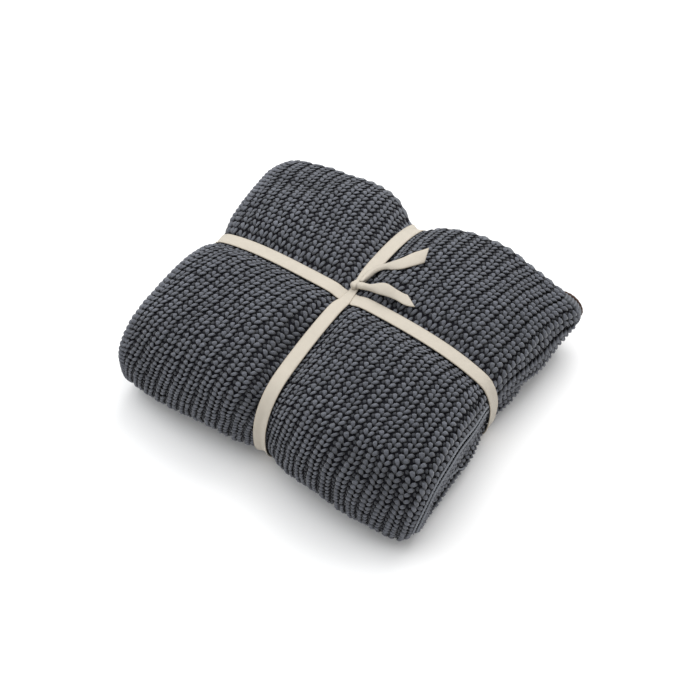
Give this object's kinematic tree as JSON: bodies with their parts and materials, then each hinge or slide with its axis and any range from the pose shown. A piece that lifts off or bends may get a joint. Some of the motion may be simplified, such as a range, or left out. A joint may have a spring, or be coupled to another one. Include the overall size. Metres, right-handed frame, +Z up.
{
  "type": "folded chunky knit blanket tied with a ribbon",
  "caption": "Thick ribbed knit throw folded into a soft square packet, drawn into lobes by a cotton ribbon that crosses on top and ends in a simple knot with loose tails.",
  "frame": {"origin": "middle of the packet's box on its underside", "axes": "+Z up off the surface it rests on; +X across the ribs, towards the side with closed folds; +Y along the ribs, towards the free hem with the edging"},
  "size_m": [0.3623, 0.3316, 0.1369],
  "materials": {
    "knit_yarn": "thick matt slate-grey half-cardigan knit, raised stitch columns over dark recesses",
    "cotton_ribbon": "flat cream cotton tape, plain fine weave, matt",
    "edging_yarn": "dark brown linked cord edging, matt"
  },
  "bodies": {
    "root": {"knit_blanket": "knit_yarn", "ribbon_tie": "cotton_ribbon", "hem_edging": "edging_yarn"}
  },
  "joints": []
}
